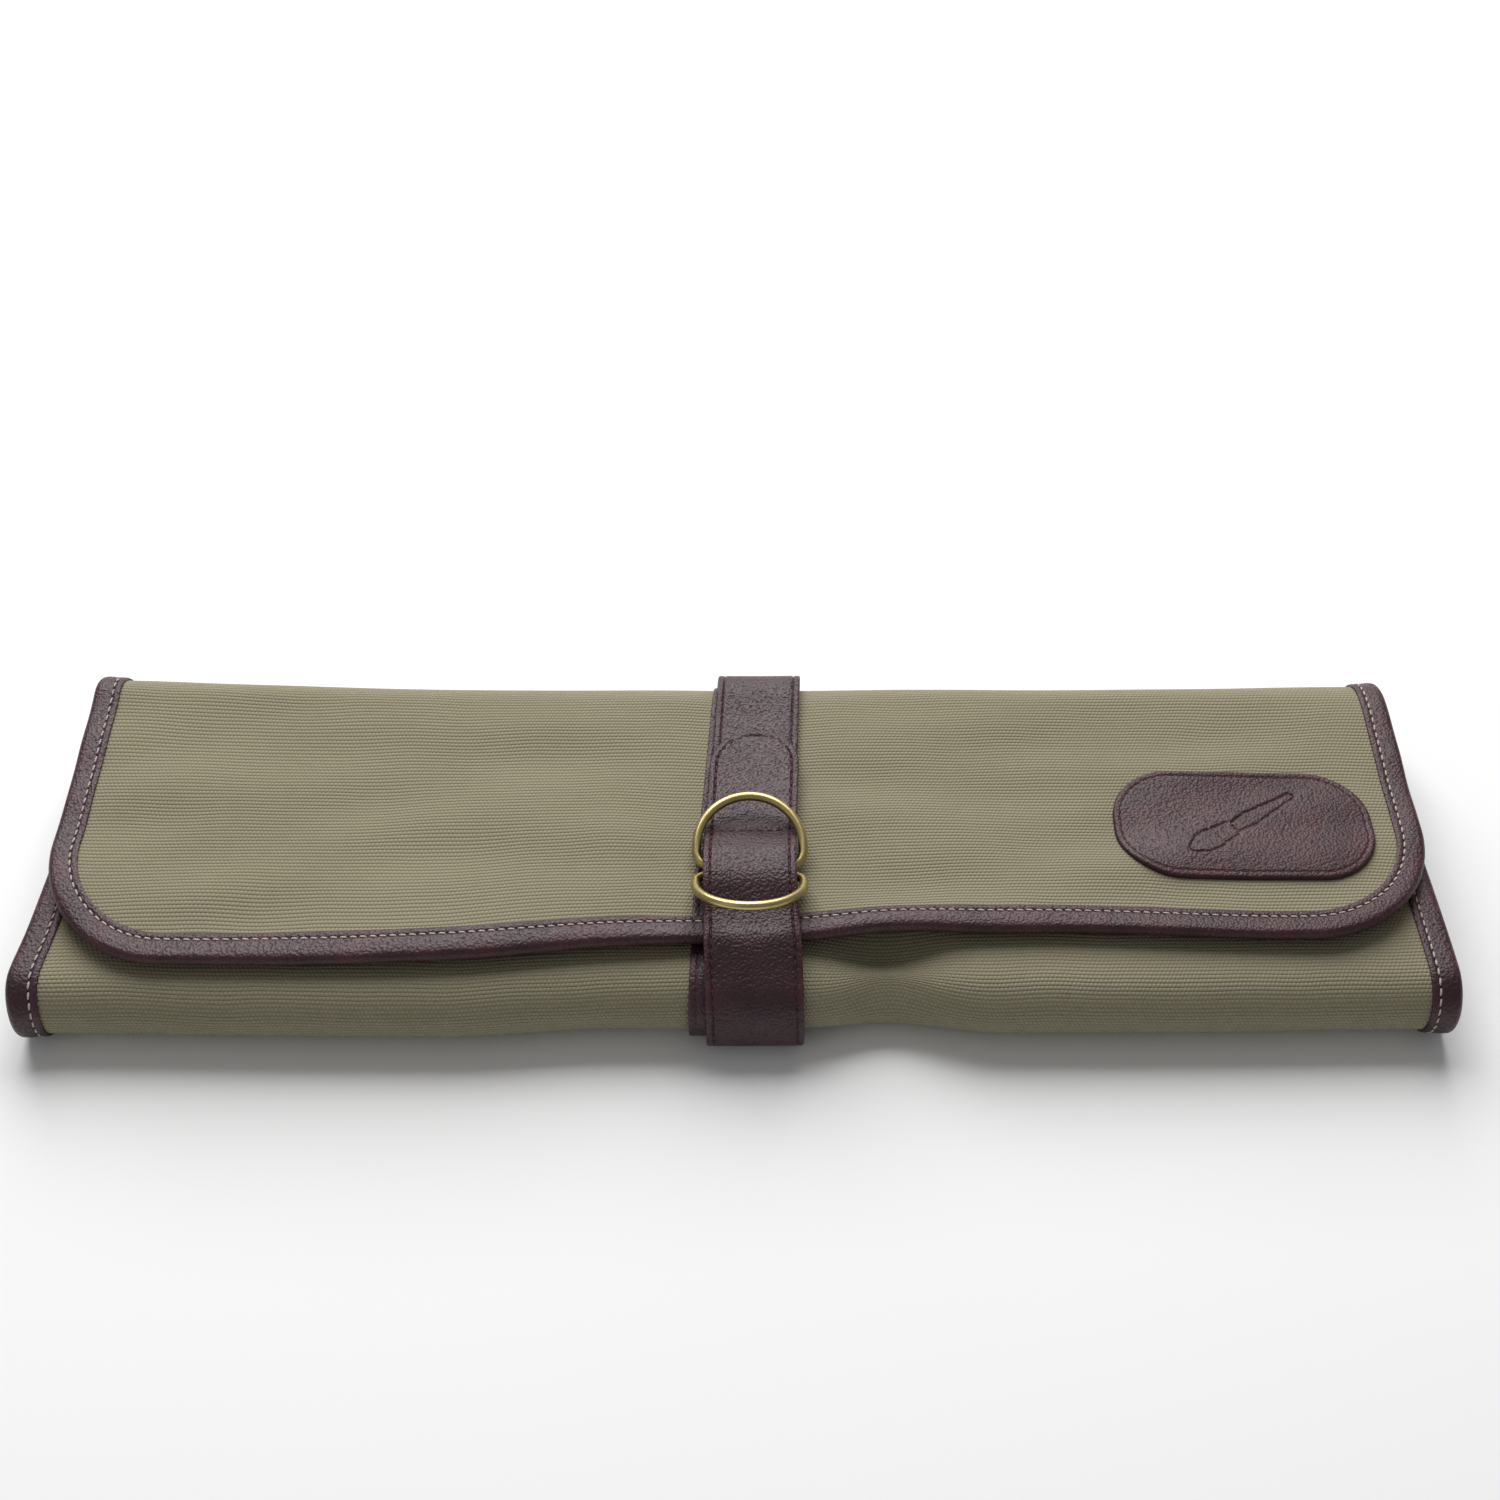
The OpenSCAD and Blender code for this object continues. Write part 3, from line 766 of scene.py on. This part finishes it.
def smoothed(points, blur, size=0.5):
    """A polyline resampled at even steps and rounded by a moving average, ends kept."""
    points = np.asarray(points, float)
    walked = path_length(points)
    at = np.linspace(0, walked[-1], int(walked[-1] / size) + 1)
    line = np.stack([np.interp(at, walked, c) for c in points.T], -1)
    before = 2 * line[:1] - line[blur:0:-1]
    after = 2 * line[-1:] - line[-2 : -blur - 2 : -1]
    padded = np.concatenate([before, line, after])
    kernel = np.hanning(2 * blur + 3)[1:-1]
    kernel /= kernel.sum()
    return np.stack([np.convolve(c, kernel, "valid") for c in padded.T], -1)


def off_path(path, x, t, h, upper):
    """Points x along the roll, t along a path of y and z, and h off it on its normal."""
    way = np.gradient(path[:, :2], axis=0)
    way /= np.linalg.norm(way, axis=1)[:, None]
    walked = path_length(path)
    y, z = (np.interp(t, walked, c) for c in path[:, :2].T)
    wy, wz = (np.interp(t, walked, c) for c in way.T)
    return settle(x, y - h * wz, z + h * wy, upper)


def ribbon(name, path, width, round_end=False, crease=None):
    """A strap carried along a path of y, z, thickness and upper (0 low, 1 on the flap). Width
    is 1 for a full strap. A round end narrows it to a half circle over its last rows."""
    thick, upper = path[:, 2:3], path[:, 3:4]
    walked = path_length(path)[:, None]
    reach = STRAP_HALF * np.broadcast_to(width, len(path))[:, None]
    past = np.clip(reach - (walked[-1] - walked), 0, 0.999 * reach) if round_end else 0
    a = ACROSS / STRAP_HALF * np.sqrt(reach**2 - past**2)
    half = strap_profile(reach - np.hypot(past, a), 1.0) * thick
    if crease:
        half = half + crease(a, path[:, :1])
    x = strap_middle(path[:, :1]) + a
    t, upper = walked + 0 * a, upper + 0 * a
    top = off_path(path, x, t, half, upper)
    under = off_path(path, x, t, -np.minimum(half, thick / 2), upper)
    return shell(name, top, under, paired(a, t), strap_leather)


def fold_angle(angle, radius):
    """A point of the back fold at an angle from the rearmost line, at a radius."""
    a = np.radians(angle)
    return [51.65 + radius * np.cos(a), 16 + radius * np.sin(a)]


def over_fold(angle):
    """The ring strap's radius: it is stiff, so it stands off the fold's upper part."""
    return 17.05 + 2.3 * bell(angle, 48, 34)


RING_STRAP_WIDTH = 0.96
low_angles = np.linspace(-38, 0, 26)
path = np.array([[*fold_angle(a, over_fold(a)), 1.9, 0.0] for a in low_angles])
path[:5, 2] = [0.9, 1.2, 1.5, 1.7, 1.85]
piece = ribbon("ring_strap_root", path, RING_STRAP_WIDTH)
go_with(piece, "base")
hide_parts("ring_strap_back")

loop = np.radians(np.linspace(270, 90, 15))
path = [[*fold_angle(a, over_fold(a)), 1.9, ease(a, 0, 90)] for a in np.linspace(0, 90, 40)]
path += [[y, 33.05, 1.9, 1.0] for y in (45, 30, 15, 0, -3.5)]
path += [[y, 32.68, 1.15, 1.0] for y in (-7.5, -14, -19)]
path += [[BAR_Y[0] + 2.28 * np.cos(a), BAR_Z + 2.28 * np.sin(a), 1.15, 1.0] for a in loop]
path += [[-20.5, 37.1, 1.15, 1.0], [-17.8, 36.8, 1.15, 1.0], [-13.5, 35.2, 1.15, 1.0]]
path += [[-10.5, 34.0, 1.1, 1.0], [-8.0, 33.85, 0.9, 1.0]]
ring_path = smoothed(path, 2)
piece = ribbon("ring_strap_loop", ring_path, RING_STRAP_WIDTH)
go_with(piece, "flap")
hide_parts("ring_strap")


def strap_seam(name, path, lines):
    """Maroon stitches on a strap, along lines of across and length, sunk into its seams."""
    walked = path_length(path)

    def place(a, t, h):
        y, thick, upper = (np.interp(t, walked, path[:, k]) for k in (0, 2, 3))
        return off_path(path, strap_middle(y) + a, t, h + thick / 2 - 0.28, upper)

    return sewn_rows(name, lines, place)


def edge_lines(first, last, row):
    """A line of across and length along each edge, row from the strap's middle."""
    t = np.linspace(first, last, 80)
    return [(t * 0 + row, t), (t * 0 - row, t)]


row = (STRAP_HALF - ROW_IN) * RING_STRAP_WIDTH
lines = edge_lines(1.5, 78.0, row)
lines.append((np.linspace(-12.4, 12.4, 40), np.full(40, 33.0)))
go_with(strap_seam("ring_strap_stitches", ring_path, lines), "flap")


# ---------------------------------------------------------------- rings
# Two D-rings of 3 mm brass wire, bent round at their corners and soldered shut. They lie with
# their bars side by side in the ring strap's fold, and each turns on its bar.
brass, tree, shader, _ = finish_with("brass")
spot = node(tree, "ShaderNodeTexCoord").outputs["Object"]
cloud = node(tree, "ShaderNodeTexNoise", {0: spot, "Scale": 160, "Detail": 4}).outputs[0]
fine = node(tree, "ShaderNodeTexNoise", {0: spot, "Scale": 2400, "Detail": 3}).outputs[0]
tarnish = spread(tree, cloud, 0.40, 0.66)
gold = mixed(tree, tarnish, (0.57, 0.46, 0.205, 1), (0.43, 0.345, 0.15, 1))
tree.links.new(gold, shader["Base Color"])
tree.links.new(spread(tree, tarnish, 0, 1, 0.30, 0.42), shader["Roughness"])
shader["Metallic"].default_value = 1.0
bump_up(tree, shader, fine, 0.00002)
RING_ARC, RING_SIDE, RING_CORNER, WIRE_R = 17.3, 7.2, 5.0, 1.5


def wire_ring(name, bar, tilt, turned):
    """A round wire carried along a D: its bar on the X axis, quarter turns up to its sides and
    a half circle over the top, tilted up from flat and turned to the front or the back."""
    quarter = np.linspace(0, np.pi / 2, 13)
    half_turn = np.linspace(0, np.pi, 61)
    corner = RING_ARC - RING_CORNER
    u = [np.linspace(-corner, corner, 21)[:-1], corner + RING_CORNER * np.sin(quarter)]
    v = [np.zeros(20), RING_CORNER * (1 - np.cos(quarter))]
    u += [RING_ARC * np.cos(half_turn), -corner - RING_CORNER * np.cos(quarter[:-1])]
    v += [RING_SIDE + RING_ARC * np.sin(half_turn), RING_CORNER * (1 - np.sin(quarter[:-1]))]
    u, v = np.concatenate(u), np.concatenate(v)
    way = np.stack([np.roll(u, -1) - np.roll(u, 1), np.roll(v, -1) - np.roll(v, 1)], -1)
    way /= np.linalg.norm(way, axis=1)[:, None]
    a = np.radians(np.arange(0, 360, 18))
    x = u[:, None] + WIRE_R * np.cos(a) * way[:, 1:]
    out = v[:, None] - WIRE_R * np.cos(a) * way[:, :1]
    high = WIRE_R * np.sin(a) + 0 * x
    t = np.radians(tilt)
    y = (out * np.cos(t) - high * np.sin(t)) * turned
    z = out * np.sin(t) + high * np.cos(t)
    points = np.stack([STRAP_X + x, bar + y, BAR_Z + z], -1)
    n, m = x.shape
    at = np.arange(n * m).reshape(n, m)
    after, beside = np.roll(at, -1, axis=0), np.roll(at, -1, axis=1)
    faces = np.stack([at, after, np.roll(after, -1, axis=1), beside], -1).reshape(-1, 4)
    walked = np.arange(n)[:, None] * 0.001 + 0 * x
    uv = np.stack([walked, a * 0.0015 + 0 * x], -1).reshape(-1, 2)[faces]
    return mesh_piece(name, points.reshape(-1, 3), faces, uv, brass)


for place, bar, tilt, turned in (("upper", BAR_Y[1], 18, 1), ("lower", BAR_Y[0], 29.5, -1)):
    ring = wire_ring(f"{place}_d_ring", bar, tilt, turned)
    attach(ring, f"{place}_ring")
    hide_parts(f"ring_{place}")


# ---------------------------------------------------------------- tail
# The strap's free end: sewn under the front fold, drawn up over the flap's edge, through both
# rings and flat along the ring strap to its round tip. It is one strap, made here in two
# lengths that meet on the front of the case.
front = np.radians(np.linspace(237, 117.4, 40))
stand = 14.8 + 2.2 * bell(np.degrees(front), 205, 24)
path = [[-53.85 + r * np.cos(a), 13.5 + r * np.sin(a), 2.0, 0.0] for a, r in zip(front, stand)]
path[0][2], path[1][2], path[2][2] = 1.0, 1.4, 1.8
path += [[-56.6, 29.0, 2.0, 0.35], [-53.4, 30.8, 2.0, 0.65], [-49.6, 32.6, 2.0, 0.95]]
path += [[-47.0, 33.35, 2.0, 1.0], [-43.0, 33.4, 2.0, 1.0], [-37.5, 34.3, 2.0, 1.0]]
path += [[-33.5, 36.4, 2.0, 1.0], [-30.0, 38.2, 2.0, 1.0], [-26.7, 39.1, 2.0, 1.0]]
path += [[-24.2, 39.3, 2.0, 1.0], [-20.5, 39.25, 2.0, 1.0], [-17.0, 39.0, 2.0, 1.0]]
path += [[-12.5, 37.2, 2.0, 1.0], [-8.0, 35.8, 2.0, 1.0], [-3.0, 35.3, 2.0, 1.0]]
path += [[10.0, 35.25, 2.0, 1.0], [24.0, 35.25, 2.0, 1.0], [36.5, 35.2, 2.0, 1.0]]
tail_path = smoothed(path, 4)
split = int(np.argmin(np.abs(tail_path[:, 1] - 18.0) + 100 * (tail_path[:, 0] > -55)))


def puckers(a, y):
    """Small folds across the strap where it drops off the rings' bars and is sewn across."""
    return 0.18 * bell(y, -9.0, 2.2) * np.sin(a * 2.1) - 0.3 * bell(y, -7.0, 0.8)


tail_width = 1.03 - 0.03 * ease(tail_path[:, 0], -50, -30)
lower_path, upper_path = tail_path[: split + 1], tail_path[split:]
lower = ribbon("tail_lower_strap", lower_path, tail_width[: split + 1])
upper = ribbon("tail_end_strap", upper_path, tail_width[split:], round_end=True, crease=puckers)
for piece, stood in ((lower, "tail_front"), (upper, "tail_top")):
    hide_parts(stood)
row = STRAP_HALF - ROW_IN
lines = edge_lines(3.0, path_length(lower_path)[-1], 1.03 * row)
lower_thread = strap_seam("tail_lower_stitches", lower_path, lines)
walked = path_length(upper_path)
straight = np.linspace(0.5, walked[-1] - STRAP_HALF, 120)
round_tip = np.linspace(np.pi, 0, 40)
edge = row * np.interp(straight, walked, tail_width[split:])
a = np.concatenate([-edge, row * np.cos(round_tip), edge[::-1]])
t = np.concatenate([straight, straight[-1] + row * np.sin(round_tip), straight[::-1]])
crossed = walked[np.argmin(np.abs(upper_path[:, 0] + 7.0))]
lines = [(a, t), (np.linspace(-11.5, 11.5, 40), np.full(40, crossed))]
upper_thread = strap_seam("tail_end_stitches", upper_path, lines)
for piece in (lower, lower_thread):
    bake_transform(piece)
for piece in (upper, upper_thread):
    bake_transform(piece)


# ---------------------------------------------------------------- patch
# A leather patch with near-round ends, sewn to the flap near its right end. A plain paintbrush is
# pressed into it as a groove.
PATCH_X, PATCH_S, PATCH_W, PATCH_H, PATCH_R = 166.6, S_FLAP + 54.6, 42.5, 22.75, 20.25
PATCH_SEAM = 2.3  # the seam's distance from the patch's edge
WINE, WINE_LIGHT = (0.034, 0.0090, 0.0130, 1), (0.072, 0.0200, 0.0265, 1)
patch_leather = leather("patch_leather", WINE, WINE_LIGHT, 1300.0, 60.0, 0.00024, 0.40)


def rounded_distance(x, y):
    """Distance inside the patch's outline: that of a rectangle with round corners."""
    qx = np.abs(x) - (PATCH_W - PATCH_R)
    qy = np.abs(y) - (PATCH_H - PATCH_R)
    outside = np.hypot(np.maximum(qx, 0), np.maximum(qy, 0))
    return PATCH_R - outside - np.minimum(np.maximum(qx, qy), 0)


def brush_stamp(x, y):
    """Depth of the stamp, 0 to 1: a pointed paintbrush drawn as a groove. Its outline is a
    half width along its middle line, for tuft, ferrule and handle, less the distance off it."""
    tilt = np.radians(34)
    u = (x + 1) * np.cos(tilt) + y * np.sin(tilt)
    v = -(x + 1) * np.sin(tilt) + y * np.cos(tilt)
    stops = np.array([-23.5, -21, -17, -13, -10.6, -10.2, -9.8, -3.4, -3.0, -2.6, 4, 18, 22.5, 24])
    widths = np.array([-2.0, 1.2, 3.6, 4.3, 3.9, -0.6, 3.7, 3.1, -0.6, 2.1, 2.9, 1.5, 1.3, -1])
    body = np.interp(u, stops, widths) - np.abs(v)
    return np.maximum(bell(body, 0, 0.5), 0.3 * ease(body, 0, 1.2))


def crowded(count, share):
    """Even places from -1 to 1, drawn towards both ends by a share of a sine."""
    even = np.linspace(-1, 1, count)
    return share * np.sin(np.pi / 2 * even) + (1 - share) * even


y = (PATCH_H * crowded(150, 0.55))[:, None]
round_y = np.maximum(np.abs(y) - (PATCH_H - PATCH_R), 0)
reach = PATCH_W - PATCH_R + np.sqrt(np.maximum(PATCH_R**2 - round_y**2, 0))
x = reach * crowded(240, 0.4)
y = y + 0 * x
inside = rounded_distance(x, y)
rim = np.sqrt(1 - (1 - np.clip(inside / 1.1, 0, 1)) ** 2)
height = 0.75 + 0.85 * rim + 0.25 * ease(inside, 2, 14) - 0.25 * bell(inside, PATCH_SEAM, 0.33)
height = height - 0.62 * brush_stamp(x, y)


def on_patch(x, y, h):
    """A point x and y from the patch's middle and h above the canvas."""
    return on_panel(PATCH_X + x, PATCH_S - y, h)


faces = on_patch(x, y, height), on_patch(x, y, LAY_GAP)
patch = shell("patch_face", *faces, paired(x, y), patch_leather)
go_with(patch, "flap")
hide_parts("patch")

turn = np.linspace(0, 2 * np.pi, 400)
seam_r = PATCH_R - PATCH_SEAM
x = np.sign(np.cos(turn)) * (PATCH_W - PATCH_R) + seam_r * np.cos(turn)
y = np.sign(np.sin(turn)) * (PATCH_H - PATCH_R) + seam_r * np.sin(turn)
centres, way = along_line(x, y, pitch=2.9)
thread = stitches(
    "patch_stitches",
    centres,
    way,
    lambda x, y, h: on_patch(x, y, 1.36 + h),
    maroon_thread,
    length=2.0,
    radius=0.26,
)
go_with(thread, "flap")


# ---------------------------------------------------------------- studio
# A flat pale floor, one broad soft light from behind and above, a weak one from the front left,
# and a white room. The camera looks down at the front of the case.
floor_mesh = bpy.data.meshes.new("floor")
corners = [(-3, -3, -0.0004), (3, -3, -0.0004), (3, 3, -0.0004), (-3, 3, -0.0004)]
floor_mesh.from_pydata(corners, [], [(0, 1, 2, 3)])
floor = bpy.data.objects.new("floor", floor_mesh)
bpy.context.scene.collection.objects.link(floor)
floor_paint, _, shader, _ = finish_with("floor_paint")
shader["Base Color"].default_value = (0.95, 0.95, 0.95, 1)
shader["Roughness"].default_value = 0.9
floor_mesh.materials.append(floor_paint)
floor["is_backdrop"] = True

world = bpy.data.worlds.new("room")
bpy.context.scene.world = world
world.use_nodes = True
world.node_tree.nodes["Background"].inputs[0].default_value = (1, 1, 1, 1)
world.node_tree.nodes["Background"].inputs[1].default_value = 0.23


def soft_light(name, place, aim, size, power):
    """A square area light at place, turned towards aim."""
    lamp = bpy.data.lights.new(name, "AREA")
    lamp.energy, lamp.size = power, size
    light = bpy.data.objects.new(name, lamp)
    bpy.context.scene.collection.objects.link(light)
    way = np.subtract(aim, place)
    way = way / np.linalg.norm(way)
    light.location = place
    light.rotation_euler = (np.arccos(-way[2]), 0, np.arctan2(way[1], way[0]) - np.pi / 2)


soft_light("behind", (-0.15, 1.15, 1.2), (0, 0, 0), 1.6, 42)
soft_light("front_left", (-1.0, -0.8, 0.9), (0, 0, 0), 0.7, 0.8)

camera = bpy.data.objects.new("camera", bpy.data.cameras.new("camera"))
bpy.context.scene.collection.objects.link(camera)
camera.data.lens, camera.data.sensor_width = 46.9, 36
camera.data.clip_start = 0.01
camera.location = (0.0036, -0.411, 0.533)
camera.rotation_euler = (np.radians(41.5), 0, 0)
bpy.context.scene.camera = camera
bpy.context.scene.view_settings.view_transform = "Standard"

low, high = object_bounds()
